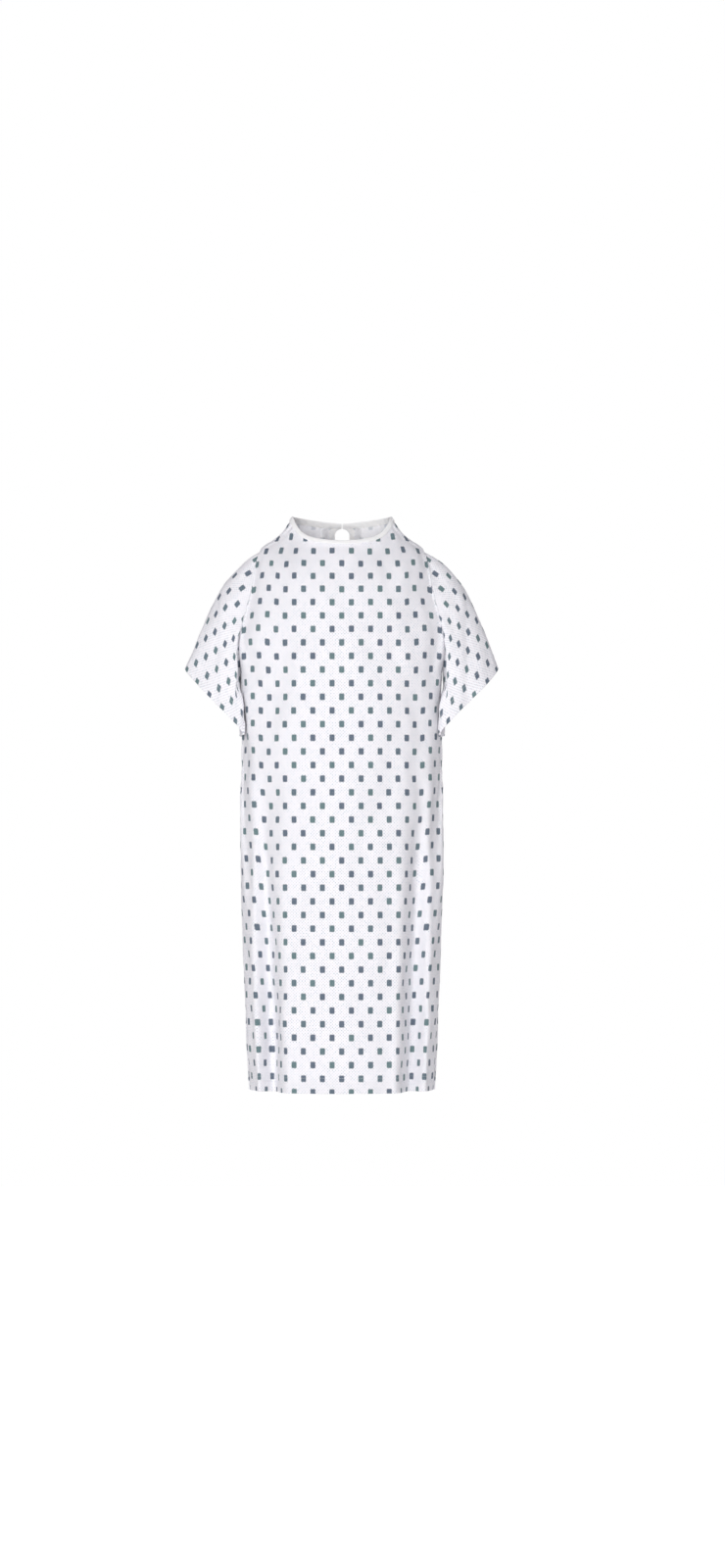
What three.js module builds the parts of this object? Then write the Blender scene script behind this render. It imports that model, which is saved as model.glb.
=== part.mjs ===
// An adult patient gown, as it hangs on the wearer: a front panel, a back that opens down the middle,
// short drop-shoulder sleeves, white binding round the neck and down the back opening, and four ties.
//
// Frame: millimetres, +Z up, -Y is the wearer's front, +X is the wearer's left. The origin is midway
// between the high points of the shoulders, where the gown rests on its wearer.
//
// Every cloth piece is a box bent over one shared surface, so neighbours keep the same seam whatever
// size is changed. The surface is a stack of rings round the body. A ring is named by its run, the
// distance down the side line from the neck, and a place on it by its turn: 0 at the middle of the
// front, 90 at the side and 180 at the middle of the back.
import * as THREE from "three";

// Lengths and drops, measured down from the high point of the shoulder
const gownLength = 1168;
const frontNeckDrop = 52;
const backNeckDrop = 11;
const shoulderDrop = 67;
const armholeDepth = 260;

// Half widths, from the middle line
const neckHalfWidth = 100;
const shoulderHalfWidth = 166;
const chestHalfWidth = 205;
const armholeFullness = 17;
const hemHalfWidth = 186;

// How far the cloth stands forward and back of the shoulder line, and how much of the front neck's drop
// falls evenly to the middle, the rest falling at its corners
const frontNeckSlant = 0.38;
const neckFront = 66;
const neckBack = 70;
const chestFront = 128;
const chestBack = 126;
const hemFront = 132;
const hemBack = 130;

// Sleeves: the ring of the hem, and how far the armhole is cut forward and back of the side
const sleeveTipReach = 325;
const sleeveTipDrop = 308;
const sleeveGapToBody = 6;
const sleeveUnderarm = 120;
const sleeveHalfDepth = 58;
const sleeveHemSag = 8;
const sleeveStandOff = 16;
const sleeveStandOffUnder = 5;
const sleeveHug = 1.6;
const sleeveSquare = 0.7;
const armholeTurn = 22;

// Cloth, tape and what is left between pieces
const clothThick = 1.5;
const bindingThick = 2.4;
const bindingWidth = 12;
const patchSize = 26;
const patchThick = 1.2;
const tieWidth = 12;
const tieThick = 1.2;
const tieLength = 300;
const neckTieInset = 28;
const neckTieRun = 5;
const waistTieInset = 19;
const seamGap = 0.8;
const armholeGap = 2.4;
const clearance = 0.6;

// Back opening: half its width at the neck, in the keyhole, at the waist ties and at the hem
const openingAtNeck = 1.5;
const keyholeRadius = 15;
const keyholeCloses = 150;
const openingAtWaist = 4;
const openingAtHem = 18;
const waistTieRun = 460;

// The line on each back panel where the flap bends away from the side of the gown
const flapLineAtNeck = 58;
const flapLineAtHem = 130;

// Rows and columns of each piece's mesh. Rows crowd together towards the neck, where the cloth curves most.
const bodyRows = 28;
const frontColumns = 32;
const sideColumns = 9;
const flapColumns = 9;
const sleeveColumns = 28;
const sleeveRows = 8;
const tieRows = 14;
const patchSteps = 3;

// Folds, which start soft and deepen to the hem: the deep one each side of the front, one behind each
// side and one on each flap. Facing is the turn that the fold's mouth looks towards.
const frontFold = { turn: 49, facing: 10, width: 5.5, depth: 50, from: 330 };
const sideFold = { turn: 113, facing: 125, width: 6.5, depth: 24, from: 420 };
const flapFold = { turn: 158, facing: 165, width: 6, depth: 20, from: 520 };
const foldRoll = 0.2;
const foldRollAway = 2.3;

const degrees = Math.PI / 180;
const sideTurn = 90;
const { lerp, smoothstep } = THREE.MathUtils;

// Rings of the surface, from the neck to the hem. Half and drop are the side's; front and back are how
// far the middles stand off, with their own drops; the dips are how square each falls from side to middle.
const between = (a, b, share) => a + (b - a) * share;
const shoulderRun = Math.hypot(shoulderHalfWidth - neckHalfWidth, shoulderDrop);
const underarmDrop = shoulderDrop + armholeDepth;
const armholeHalfWidth = chestHalfWidth + armholeFullness;
const runOf = (drop) => shoulderRun + drop - shoulderDrop;
const underarmRun = runOf(underarmDrop);
const hemRun = runOf(gownLength);

const halfShoulder = {
  run: shoulderRun * 0.48,
  half: between(neckHalfWidth, shoulderHalfWidth, 0.41),
  drop: shoulderDrop * 0.55,
  front: between(neckFront, chestFront, 0.26),
  frontDrop: frontNeckDrop + shoulderRun * 0.3,
  back: between(neckBack, chestBack, 0.32),
  backDrop: backNeckDrop + shoulderRun * 0.42,
  frontDip: 5,
  backDip: 2,
};

// A ring across the armholes, at a share of the armhole's depth.
function armholeRing(depthShare, widthShare, forwardShare, backShare, frontSag, backSag, dip) {
  const drop = shoulderDrop + armholeDepth * depthShare;
  return {
    run: runOf(drop),
    half: between(shoulderHalfWidth, armholeHalfWidth, widthShare),
    drop,
    front: between(neckFront, chestFront, forwardShare),
    frontDrop: drop + frontSag,
    back: between(neckBack, chestBack, backShare),
    backDrop: drop + backSag,
    frontDip: dip,
    backDip: dip,
  };
}

// A level ring round the body, at a share of the way from the underarm to the hem.
function bodyRing(share, taperShare) {
  const drop = between(underarmDrop, gownLength, share);
  return {
    run: runOf(drop),
    half: between(chestHalfWidth, hemHalfWidth, taperShare),
    drop,
    front: between(chestFront, hemFront, share),
    frontDrop: drop,
    back: between(chestBack, hemBack, share),
    backDrop: drop,
    frontDip: 2,
    backDip: 2,
  };
}

const rings = [
  {
    run: 0,
    half: neckHalfWidth,
    drop: 0,
    front: neckFront,
    frontDrop: frontNeckDrop,
    back: neckBack,
    backDrop: backNeckDrop,
    frontDip: 8,
    backDip: 1.3,
  },
  halfShoulder,
  armholeRing(0, 0, 0.52, 0.61, 57, 21, 3.2),
  armholeRing(0.32, 0.57, 0.74, 0.82, 36, 8, 2.5),
  armholeRing(0.67, 1, 0.9, 0.95, 18, 0, 2.2),
  { ...bodyRing(0, 0), frontDrop: underarmDrop + 7 },
  bodyRing(0.15, 0),
  bodyRing(0.55, 0.22),
  bodyRing(1, 1),
];
const ringCurve = new THREE.CubicInterpolant(
  rings.map((r) => r.run),
  rings.flatMap((r) => [
    r.half,
    r.drop,
    r.front,
    r.frontDrop,
    r.frontDip,
    r.back,
    r.backDrop,
    r.backDip,
  ]),
  8,
);

// How far a fold carries the cloth along its facing: in at its middle, and a little out each side.
function foldPush(fold, run, turn) {
  const share = smoothstep(run, fold.from, hemRun);
  const away = (turn - fold.turn) / fold.width;
  const roll = Math.exp(-((Math.abs(away) - foldRollAway) ** 2));
  return fold.depth * share * (foldRoll * roll - Math.exp(-(away ** 2) / 2));
}

// A point of the surface on the wearer's left, at a run and a turn from 0 to 180, stood off outwards.
function bodyPoint(run, turn, off = 0) {
  const [half, drop, front, frontDrop, frontDip, back, backDrop, backDip] = ringCurve.evaluate(run);
  const angle = turn * degrees;
  const inFront = turn <= sideTurn;
  const slant = inFront ? frontNeckSlant * (1 - smoothstep(run, 0, shoulderRun)) : 0;
  const [reach, middleDrop, dip] = inFront ? [front, frontDrop, frontDip] : [back, backDrop, backDip];
  const across = Math.abs(Math.sin(angle));
  const out = new THREE.Vector3(reach * Math.sin(angle), -half * Math.cos(angle), 0).normalize();
  const point = new THREE.Vector3(
    half * Math.sin(angle),
    -reach * Math.cos(angle),
    -lerp(middleDrop, drop, lerp(across ** dip, across ** 2, slant)),
  ).addScaledVector(out, off);
  for (const fold of [frontFold, sideFold, flapFold]) {
    const facing = new THREE.Vector3(Math.sin(fold.facing * degrees), -Math.cos(fold.facing * degrees), 0);
    point.addScaledVector(facing, foldPush(fold, run, turn));
  }
  return point;
}

// The turn at which a ring is a given distance from the middle line, in the back half.
function turnAtHalfWidth(run, x) {
  return 180 - Math.asin(Math.min(1, x / ringCurve.evaluate(run)[0])) / degrees;
}

// The turn of the front panel's edge: the side and shoulder seams at 90, cut forward at the armhole.
function frontEdge(run) {
  const share = THREE.MathUtils.clamp((run - shoulderRun) / (underarmRun - shoulderRun), 0, 1);
  return sideTurn - armholeTurn * Math.sin(Math.PI * share) ** 0.55;
}

// Half the gap between the flaps, widened by a margin: touching at the neck, round in the keyhole,
// then a narrow slot that widens to the hem.
const keyholeCentre = bindingWidth + clearance + keyholeRadius;

function openingHalf(run, margin = 0) {
  const radius = keyholeRadius + margin;
  const above = keyholeCentre - run;
  if (above > 0) return Math.max(openingAtNeck, Math.sqrt(Math.max(0, radius ** 2 - above ** 2)));
  const closing = smoothstep(run, keyholeCentre, keyholeCloses);
  const opening = smoothstep(run, waistTieRun, hemRun);
  return lerp(keyholeRadius, openingAtWaist, closing) + (openingAtHem - openingAtWaist) * opening + margin;
}

const edgeTurn = (margin) => (run) => turnAtHalfWidth(run, openingHalf(run, margin));
const flapLine = (run) => turnAtHalfWidth(run, lerp(flapLineAtNeck, flapLineAtHem, run / hemRun));

// A box whose width runs along u, whose height runs down v and whose depth is the cloth's thickness,
// bent over the surface that at(u, v) gives.
function sheet(at, uSteps, vSteps, thick) {
  const geometry = new THREE.BoxGeometry(1, 1, 1, uSteps, vSteps, 1);
  const position = geometry.getAttribute("position");
  const step = 1e-3;
  for (let i = 0; i < position.count; i++) {
    const u = position.getX(i) + 0.5;
    const v = 0.5 - position.getY(i);
    const here = at(u, v);
    const alongU = at(u + step, v).sub(at(u - step, v));
    const alongV = at(u, v + step).sub(at(u, v - step));
    const normal = alongV.cross(alongU).normalize();
    here.addScaledVector(normal, position.getZ(i) * thick);
    position.setXYZ(i, here.x, here.y, here.z);
  }
  geometry.computeVertexNormals();
  return geometry;
}

// The angle, in degrees, that a distance takes at a place on a ring.
function turnFor(distance, run, turn) {
  return distance / bodyPoint(run, turn).distanceTo(bodyPoint(run, turn + 1));
}

// The share of the way down for a row, so that rows crowd together at the top.
const rowShare = (v) => Math.abs(v) * v;

// A sheet between two turns, each a function of the run, and two runs, each moved in by a gap.
function bodySheet({ from, to, top, bottom, thick, uSteps, vSteps, off = 0, gaps = [0, 0, 0, 0] }) {
  const [gapFrom, gapTo, gapTop, gapBottom] = gaps;
  return sheet(
    (u, v) => {
      const run = lerp(top + gapTop, bottom - gapBottom, rowShare(v));
      const first = from(run) + turnFor(gapFrom, run, from(run));
      const last = to(run) - turnFor(gapTo, run, to(run) - 1);
      return bodyPoint(run, lerp(first, last, u), off);
    },
    uSteps,
    vSteps,
    thick,
  );
}

function material(color, roughness) {
  return new THREE.MeshStandardMaterial({ color, roughness, metalness: 0 });
}

const printedCloth = material(0xeef0f4, 0.9);
const whiteTape = material(0xf8f8f6, 0.85);

const gown = new THREE.Group();

function add(name, geometry, finish, side = 1) {
  const mesh = new THREE.Mesh(geometry, finish);
  mesh.name = name;
  mesh.scale.x = side;
  gown.add(mesh);
}

// A front piece runs right across, from the wearer's right to the left.
function frontSheet({ top, bottom, thick, uSteps, vSteps, gaps }) {
  const [gapEdge, gapTop, gapBottom] = gaps;
  return sheet(
    (u, v) => {
      const run = lerp(top + gapTop, bottom - gapBottom, rowShare(v));
      const edge = frontEdge(run) - turnFor(gapEdge, run, frontEdge(run) - 1);
      const turn = edge * (2 * u - 1);
      const point = bodyPoint(run, Math.abs(turn));
      if (turn < 0) point.x *= -1;
      return point;
    },
    uSteps,
    vSteps,
    thick,
  );
}

function frontPanel() {
  return frontSheet({
    top: bindingWidth,
    bottom: hemRun,
    thick: clothThick,
    uSteps: frontColumns,
    vSteps: bodyRows,
    gaps: [seamGap, clearance, 0],
  });
}

function frontNeckBinding() {
  return frontSheet({
    top: 0,
    bottom: bindingWidth,
    thick: bindingThick,
    uSteps: frontColumns,
    vSteps: 1,
    gaps: [seamGap, 0, 0],
  });
}

// The part of a back panel that stays with the side seam and the shoulder seam.
function backSide() {
  return bodySheet({
    from: (run) => 180 - frontEdge(run),
    to: flapLine,
    top: bindingWidth,
    bottom: hemRun,
    thick: clothThick,
    uSteps: sideColumns,
    vSteps: bodyRows,
    gaps: [seamGap, seamGap, clearance, 0],
  });
}

// The part of a back panel that swings open, up to the binding of its edge.
function backFlap() {
  return bodySheet({
    from: flapLine,
    to: edgeTurn(bindingWidth),
    top: bindingWidth,
    bottom: hemRun,
    thick: clothThick,
    uSteps: flapColumns,
    vSteps: bodyRows,
    gaps: [seamGap, clearance, clearance, 0],
  });
}

function backEdgeBinding() {
  return bodySheet({
    from: edgeTurn(bindingWidth),
    to: edgeTurn(0),
    top: bindingWidth,
    bottom: hemRun,
    thick: bindingThick,
    uSteps: 2,
    vSteps: bodyRows,
    gaps: [0, 0, clearance, 0],
  });
}

// The neck binding behind the shoulder seam: a short length on the side, the rest on the flap.
function backNeckBinding(from, to, uSteps) {
  return bodySheet({
    from,
    to,
    top: 0,
    bottom: bindingWidth,
    thick: bindingThick,
    uSteps,
    vSteps: 1,
    gaps: [seamGap, seamGap / 2, 0, 0],
  });
}

// The sleeve's curves run from the armhole to the hem, over the arm at 0 and under it at 180.
const armholeLength = underarmRun - shoulderRun;
const hemTop = new THREE.Vector3(sleeveTipReach, 0, -sleeveTipDrop);
const hemUnder = new THREE.Vector3(chestHalfWidth + sleeveGapToBody, 0, -underarmDrop - sleeveUnderarm);
const overReach = sleeveTipReach - shoulderHalfWidth;
const overDrop = sleeveTipDrop - shoulderDrop;

function sleevePoint(around, along) {
  const front = around >= 0;
  const share = (1 - Math.cos(around * degrees)) / 2;
  const run = shoulderRun + share * armholeLength;
  const start = bodyPoint(run, front ? frontEdge(run) : 180 - frontEdge(run));
  const bulge = Math.sin(around * degrees);
  const inwards = 1 - (1 - share) ** sleeveHug;
  const end = hemTop.clone().lerp(hemUnder, inwards);
  end.y = -sleeveHalfDepth * Math.sign(bulge) * Math.abs(bulge) ** sleeveSquare;
  end.x -= inwards * chestHalfWidth * (1 - Math.sqrt(1 - (end.y / chestFront) ** 2));
  end.z -= sleeveHemSag * Math.abs(bulge);
  const leaving = new THREE.Vector3(overReach * 0.43, 0, -overDrop * 0.21).lerp(
    new THREE.Vector3(sleeveGapToBody * 0.6, 0, -sleeveUnderarm * 0.35),
    share,
  );
  const arriving = new THREE.Vector3(overReach * 0.36, 0, -overDrop * 0.6).lerp(
    new THREE.Vector3(0, 0, -sleeveUnderarm * 0.35),
    share,
  );
  const outward = new THREE.Vector3(Math.abs(Math.cos(around * degrees)), -bulge, 0).normalize();
  leaving.addScaledVector(outward, lerp(sleeveStandOff, sleeveStandOffUnder, share));
  start.addScaledVector(outward, armholeGap);
  const curve = new THREE.CubicBezierCurve3(
    start,
    start.clone().add(leaving),
    end.clone().sub(arriving),
    end,
  );
  return curve.getPoint(along);
}

function sleeve() {
  const seamTurn = seamGap / (degrees * sleeveHalfDepth);
  return sheet(
    (u, v) => sleevePoint(lerp(-180 + seamTurn, 180 - seamTurn, u), v),
    sleeveColumns,
    sleeveRows,
    clothThick,
  );
}

// A strip of the back between two distances from the middle line, stood off the outside of the cloth.
function backStrip({ inset, width, top, bottom, thick, off, columns, rows }) {
  return bodySheet({
    from: (run) => turnAtHalfWidth(run, inset + width),
    to: (run) => turnAtHalfWidth(run, inset),
    top,
    bottom,
    thick,
    off,
    uSteps: columns,
    vSteps: rows,
  });
}

// A tie hangs down the outside of its flap from where it is sewn on.
const onBinding = (bindingThick + tieThick) / 2 + 2 * clearance;
const patchOff = (bindingThick + patchThick) / 2 + clearance;
const onPatch = patchOff + (patchThick + tieThick) / 2 + clearance;

const neckTie = () =>
  backStrip({
    inset: neckTieInset,
    width: tieWidth,
    top: neckTieRun,
    bottom: neckTieRun + tieLength,
    thick: tieThick,
    off: onBinding,
    columns: 1,
    rows: tieRows,
  });

const waistTie = () =>
  backStrip({
    inset: waistTieInset,
    width: tieWidth,
    top: waistTieRun,
    bottom: waistTieRun + tieLength,
    thick: tieThick,
    off: onPatch,
    columns: 1,
    rows: tieRows,
  });

const waistPatch = () =>
  backStrip({
    inset: waistTieInset + (tieWidth - patchSize) / 2,
    width: patchSize,
    top: waistTieRun - patchSize * 0.3,
    bottom: waistTieRun + patchSize * 0.7,
    thick: patchThick,
    off: patchOff,
    columns: patchSteps,
    rows: patchSteps,
  });

add("front_panel", frontPanel(), printedCloth);
add("neck_binding_front", frontNeckBinding(), whiteTape);
for (const [hand, side] of [
  ["left", 1],
  ["right", -1],
]) {
  add(`back_side_${hand}`, backSide(), printedCloth, side);
  add(`back_flap_${hand}`, backFlap(), printedCloth, side);
  add(`back_edge_binding_${hand}`, backEdgeBinding(), whiteTape, side);
  add(`neck_binding_side_${hand}`, backNeckBinding(() => sideTurn, flapLine, sideColumns), whiteTape, side);
  add(`neck_binding_back_${hand}`, backNeckBinding(flapLine, edgeTurn(0), flapColumns), whiteTape, side);
  add(`sleeve_${hand}`, sleeve(), printedCloth, side);
  add(`neck_tie_${hand}`, neckTie(), whiteTape, side);
  add(`waist_tie_patch_${hand}`, waistPatch(), whiteTape, side);
  add(`waist_tie_${hand}`, waistTie(), whiteTape, side);
}

export default gown;
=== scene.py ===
import math

import bpy
import numpy as np
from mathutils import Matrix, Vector


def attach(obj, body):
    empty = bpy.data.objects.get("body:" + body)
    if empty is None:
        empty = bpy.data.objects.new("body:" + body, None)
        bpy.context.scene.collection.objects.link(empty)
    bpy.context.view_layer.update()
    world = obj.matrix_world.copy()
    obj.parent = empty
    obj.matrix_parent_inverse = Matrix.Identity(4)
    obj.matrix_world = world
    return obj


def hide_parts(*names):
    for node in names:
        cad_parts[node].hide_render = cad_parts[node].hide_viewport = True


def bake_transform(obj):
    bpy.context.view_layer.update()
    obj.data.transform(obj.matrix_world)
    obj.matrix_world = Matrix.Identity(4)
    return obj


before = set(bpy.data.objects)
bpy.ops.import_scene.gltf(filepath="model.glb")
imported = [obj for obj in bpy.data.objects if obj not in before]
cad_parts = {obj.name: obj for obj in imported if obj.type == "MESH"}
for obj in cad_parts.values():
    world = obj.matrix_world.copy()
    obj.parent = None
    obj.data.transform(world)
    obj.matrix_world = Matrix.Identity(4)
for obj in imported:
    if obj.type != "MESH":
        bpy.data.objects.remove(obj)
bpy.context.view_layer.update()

print("frame loaded")


# camera first: level and far off, so that the hem stays straight

camera = {
    "distance": 10.0,
    "frameHeight": 3.2,  # metres of the scene from top to bottom of the view
    "sideStep": 0.042,  # the gown hangs a little left of the view's middle
    "height": -0.546,
    "sensor": 36.0,
}


def addCamera():
    bpy.ops.object.camera_add(
        location=(camera["sideStep"], -camera["distance"], camera["height"]),
        rotation=(math.pi / 2, 0, 0),
    )
    cam = bpy.context.object
    cam.data.sensor_fit = "VERTICAL"
    cam.data.sensor_height = camera["sensor"]
    cam.data.lens = camera["sensor"] * camera["distance"] / camera["frameHeight"]
    cam.data.clip_end = 60
    bpy.context.scene.camera = cam


addCamera()
print("camera placed")


# the shape the gown hangs in, in metres: rings round the body, from the neck to the hem
# a ring is named by its run, the distance down the side line from the neck, and a place on it by its
# turn: 0 at the middle of the front, 90 at the side, 180 at the middle of the back

gown = {
    "length": 1.168,
    "frontNeckDrop": 0.052,
    "backNeckDrop": 0.011,
    "frontNeckSlant": 0.38,
    "shoulderDrop": 0.067,
    "armholeDepth": 0.260,
    "neckHalf": 0.100,
    "shoulderHalf": 0.166,
    "armholeHalf": 0.222,
    "chestHalf": 0.205,
    "hemHalf": 0.186,
    "neckFront": 0.066,
    "neckBack": 0.070,
    "chestFront": 0.128,
    "chestBack": 0.126,
    "hemFront": 0.132,
    "hemBack": 0.130,
    "armholeTurn": 22,
    "bindingWidth": 0.012,
}

folds = [  # soft at their tops and deep at the hem
    {"turn": 49, "facing": 10, "width": 5.5, "depth": 0.050, "from": 0.330},
    {"turn": 113, "facing": 125, "width": 6.5, "depth": 0.024, "from": 0.420},
    {"turn": 158, "facing": 165, "width": 6.0, "depth": 0.020, "from": 0.520},
]
foldRoll, foldRollAway = 0.2, 2.3

backOpening = {
    "atNeck": 0.0015,
    "keyhole": 0.015,
    "keyholeCloses": 0.150,
    "atWaist": 0.004,
    "atHem": 0.018,
    "waistRun": 0.460,
    "clearance": 0.0006,
}


def between(a, b, share):
    return a + (b - a) * share


def smoothstep(x, low, high):
    t = np.clip((x - low) / (high - low), 0, 1)
    return t * t * (3 - 2 * t)


shoulderRun = math.hypot(gown["shoulderHalf"] - gown["neckHalf"], gown["shoulderDrop"])
underarmDrop = gown["shoulderDrop"] + gown["armholeDepth"]


def runOf(drop):
    return shoulderRun + drop - gown["shoulderDrop"]


underarmRun = runOf(underarmDrop)
hemRun = runOf(gown["length"])


def armholeRing(depthShare, widthShare, forwardShare, backShare, frontSag, backSag, dip):
    drop = gown["shoulderDrop"] + gown["armholeDepth"] * depthShare
    return [
        runOf(drop),
        between(gown["shoulderHalf"], gown["armholeHalf"], widthShare),
        drop,
        between(gown["neckFront"], gown["chestFront"], forwardShare),
        drop + frontSag,
        dip,
        between(gown["neckBack"], gown["chestBack"], backShare),
        drop + backSag,
        dip,
    ]


def bodyRing(share, taperShare, frontSag=0.0):
    drop = between(underarmDrop, gown["length"], share)
    return [
        runOf(drop),
        between(gown["chestHalf"], gown["hemHalf"], taperShare),
        drop,
        between(gown["chestFront"], gown["hemFront"], share),
        drop + frontSag,
        2,
        between(gown["chestBack"], gown["hemBack"], share),
        drop,
        2,
    ]


neckRing = [
    0,
    gown["neckHalf"],
    0,
    gown["neckFront"],
    gown["frontNeckDrop"],
    8,
    gown["neckBack"],
    gown["backNeckDrop"],
    1.3,
]
halfShoulderRing = [
    shoulderRun * 0.48,
    between(gown["neckHalf"], gown["shoulderHalf"], 0.41),
    gown["shoulderDrop"] * 0.55,
    between(gown["neckFront"], gown["chestFront"], 0.26),
    gown["frontNeckDrop"] + shoulderRun * 0.3,
    5,
    between(gown["neckBack"], gown["chestBack"], 0.32),
    gown["backNeckDrop"] + shoulderRun * 0.42,
    2,
]
rings = np.array([
    neckRing,
    halfShoulderRing,
    armholeRing(0, 0, 0.52, 0.61, 0.057, 0.021, 3.2),
    armholeRing(0.32, 0.57, 0.74, 0.82, 0.036, 0.008, 2.5),
    armholeRing(0.67, 1, 0.9, 0.95, 0.018, 0, 2.2),
    bodyRing(0, 0, 0.007),
    bodyRing(0.15, 0),
    bodyRing(0.55, 0.22),
    bodyRing(1, 1),
], float)


# a smooth curve through the rings, with each ring's slope from its neighbours
def ringValues(run):
    runs = rings[:, 0]
    last = len(runs) - 2
    i = np.clip(np.searchsorted(runs, run, side="right") - 1, 0, last)
    t0, t1 = runs[i], runs[i + 1]
    before = np.where(i > 0, i - 1, i + 1)
    after = np.where(i < last, i + 2, i)
    tBefore = np.where(i > 0, runs[before], t1)
    tAfter = np.where(i < last, runs[after], t0)
    wb = (0.5 * (t1 - t0) / (t0 - tBefore))[..., None]
    wa = (0.5 * (t1 - t0) / (tAfter - t1))[..., None]
    p = ((run - t0) / (t1 - t0))[..., None]
    pp, ppp = p * p, p * p * p
    values = rings[:, 1:]
    return (
        (-wb * ppp + 2 * wb * pp - wb * p) * values[before]
        + ((1 + wb) * ppp + (-1.5 - 2 * wb) * pp + (-0.5 + wb) * p + 1) * values[i]
        + ((-1 - wa) * ppp + (1.5 + wa) * pp + 0.5 * p) * values[i + 1]
        + (wa * ppp - wa * pp) * values[after]
    )


# a place on the gown's left half, at a turn from 0 to 180
def bodyPoint(run, turn):
    run, turn = np.broadcast_arrays(np.asarray(run, float), np.asarray(turn, float))
    half, drop, front, frontDrop, frontDip, back, backDrop, backDip = np.moveaxis(ringValues(run), -1, 0)
    angle = np.radians(turn)
    reach = np.where(turn <= 90, front, back)
    middleDrop = np.where(turn <= 90, frontDrop, backDrop)
    across = np.abs(np.sin(angle))
    slant = np.where(turn <= 90, gown["frontNeckSlant"] * (1 - smoothstep(run, 0, shoulderRun)), 0)
    dip = np.where(turn <= 90, frontDip, backDip)
    sides = between(across ** dip, across ** 2, slant)
    point = np.stack([half * np.sin(angle), -reach * np.cos(angle), -between(middleDrop, drop, sides)], -1)
    for fold in folds:
        share = smoothstep(run, fold["from"], hemRun)
        away = (turn - fold["turn"]) / fold["width"]
        roll = np.exp(-((np.abs(away) - foldRollAway) ** 2))
        push = fold["depth"] * share * (foldRoll * roll - np.exp(-(away ** 2) / 2))
        facing = math.radians(fold["facing"])
        point = point + push[..., None] * np.array([math.sin(facing), -math.cos(facing), 0])
    return point


def turnAtHalf(run, x):
    return 180 - np.degrees(np.arcsin(np.clip(x / ringValues(np.asarray(run, float))[..., 0], 0, 1)))


def frontEdge(run):
    share = np.clip((run - shoulderRun) / (underarmRun - shoulderRun), 0, 1)
    return 90 - gown["armholeTurn"] * np.sin(math.pi * share) ** 0.55


# half the gap between the back edges, widened by a margin
def openingHalf(run, margin=0.0):
    run = np.asarray(run, float)
    centre = gown["bindingWidth"] + backOpening["clearance"] + backOpening["keyhole"]
    above = centre - run
    rounded = np.sqrt(np.clip((backOpening["keyhole"] + margin) ** 2 - above ** 2, 0, None))
    closing = smoothstep(run, centre, backOpening["keyholeCloses"])
    opening = smoothstep(run, backOpening["waistRun"], hemRun)
    slot = (
        between(backOpening["keyhole"], backOpening["atWaist"], closing)
        + (backOpening["atHem"] - backOpening["atWaist"]) * opening
        + margin
    )
    return np.where(above > 0, np.maximum(backOpening["atNeck"], rounded), slot)


sleeve = {
    "tipReach": 0.325,
    "tipDrop": 0.308,
    "gapToBody": 0.002,
    "underarm": 0.120,
    "halfDepth": 0.058,
    "hemSag": 0.008,
    "standOff": 0.016,
    "standOffUnder": 0.005,
    "hug": 1.6,
    "square": 0.7,
}


# a place on the left sleeve: around is 0 over the arm and 180 under it, plus at the front
def sleevePoint(around, along):
    around, along = np.broadcast_arrays(np.asarray(around, float), np.asarray(along, float))
    share = (1 - np.cos(np.radians(around))) / 2
    run = shoulderRun + share * (underarmRun - shoulderRun)
    edge = frontEdge(run)
    start = bodyPoint(run, np.where(around >= 0, edge, 180 - edge))
    bulge = np.sin(np.radians(around))
    inwards = 1 - (1 - share) ** sleeve["hug"]
    top = np.array([sleeve["tipReach"], 0, -sleeve["tipDrop"]])
    under = np.array([gown["chestHalf"] + sleeve["gapToBody"], 0, -underarmDrop - sleeve["underarm"]])
    end = top + (under - top) * inwards[..., None]
    end[..., 1] = -sleeve["halfDepth"] * np.sign(bulge) * np.abs(bulge) ** sleeve["square"]
    end[..., 0] -= inwards * gown["chestHalf"] * (1 - np.sqrt(1 - (end[..., 1] / gown["chestFront"]) ** 2))
    end[..., 2] -= sleeve["hemSag"] * np.abs(bulge)
    overReach = sleeve["tipReach"] - gown["shoulderHalf"]
    overDrop = sleeve["tipDrop"] - gown["shoulderDrop"]
    down = -sleeve["underarm"] * 0.35
    s = share[..., None]
    overLeaving = np.array([overReach * 0.43, 0, -overDrop * 0.21])
    overArriving = np.array([overReach * 0.36, 0, -overDrop * 0.6])
    leaving = between(overLeaving, np.array([sleeve["gapToBody"] * 0.6, 0, down]), s)
    arriving = between(overArriving, np.array([0, 0, down]), s)
    outward = np.stack([np.abs(np.cos(np.radians(around))), -bulge, np.zeros_like(bulge)], -1)
    outward /= np.linalg.norm(outward, axis=-1, keepdims=True)
    leaving = leaving + outward * between(sleeve["standOff"], sleeve["standOffUnder"], s)
    t = along[..., None]
    return (
        (1 - t) ** 3 * start
        + 3 * (1 - t) ** 2 * t * (start + leaving)
        + 3 * (1 - t) * t ** 2 * (end - arriving)
        + t ** 3 * end
    )


# cut pieces as grids: u runs across and v down, both from 0 to 1

rawEdge = gown["bindingWidth"] * 0.4  # how far the cloth's raw edges lie inside the binding
rowsCrowd, rowsEven = 0.35, 0.65  # the rows stand a little closer towards the neck


def rowRun(v):
    return rawEdge + (hemRun - rawEdge) * (rowsCrowd * v ** 2 + rowsEven * v)


def rowAtRun(run):
    share = np.clip((run - rawEdge) / (hemRun - rawEdge), 0, 1)
    return (-rowsEven + np.sqrt(rowsEven ** 2 + 4 * rowsCrowd * share)) / (2 * rowsCrowd)


def frontAt(u, v):
    run = rowRun(v)
    turn = frontEdge(run) * (2 * u - 1)
    point = bodyPoint(run, np.abs(turn))
    point[..., 0] *= np.sign(turn + 1e-9)
    return point


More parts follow.
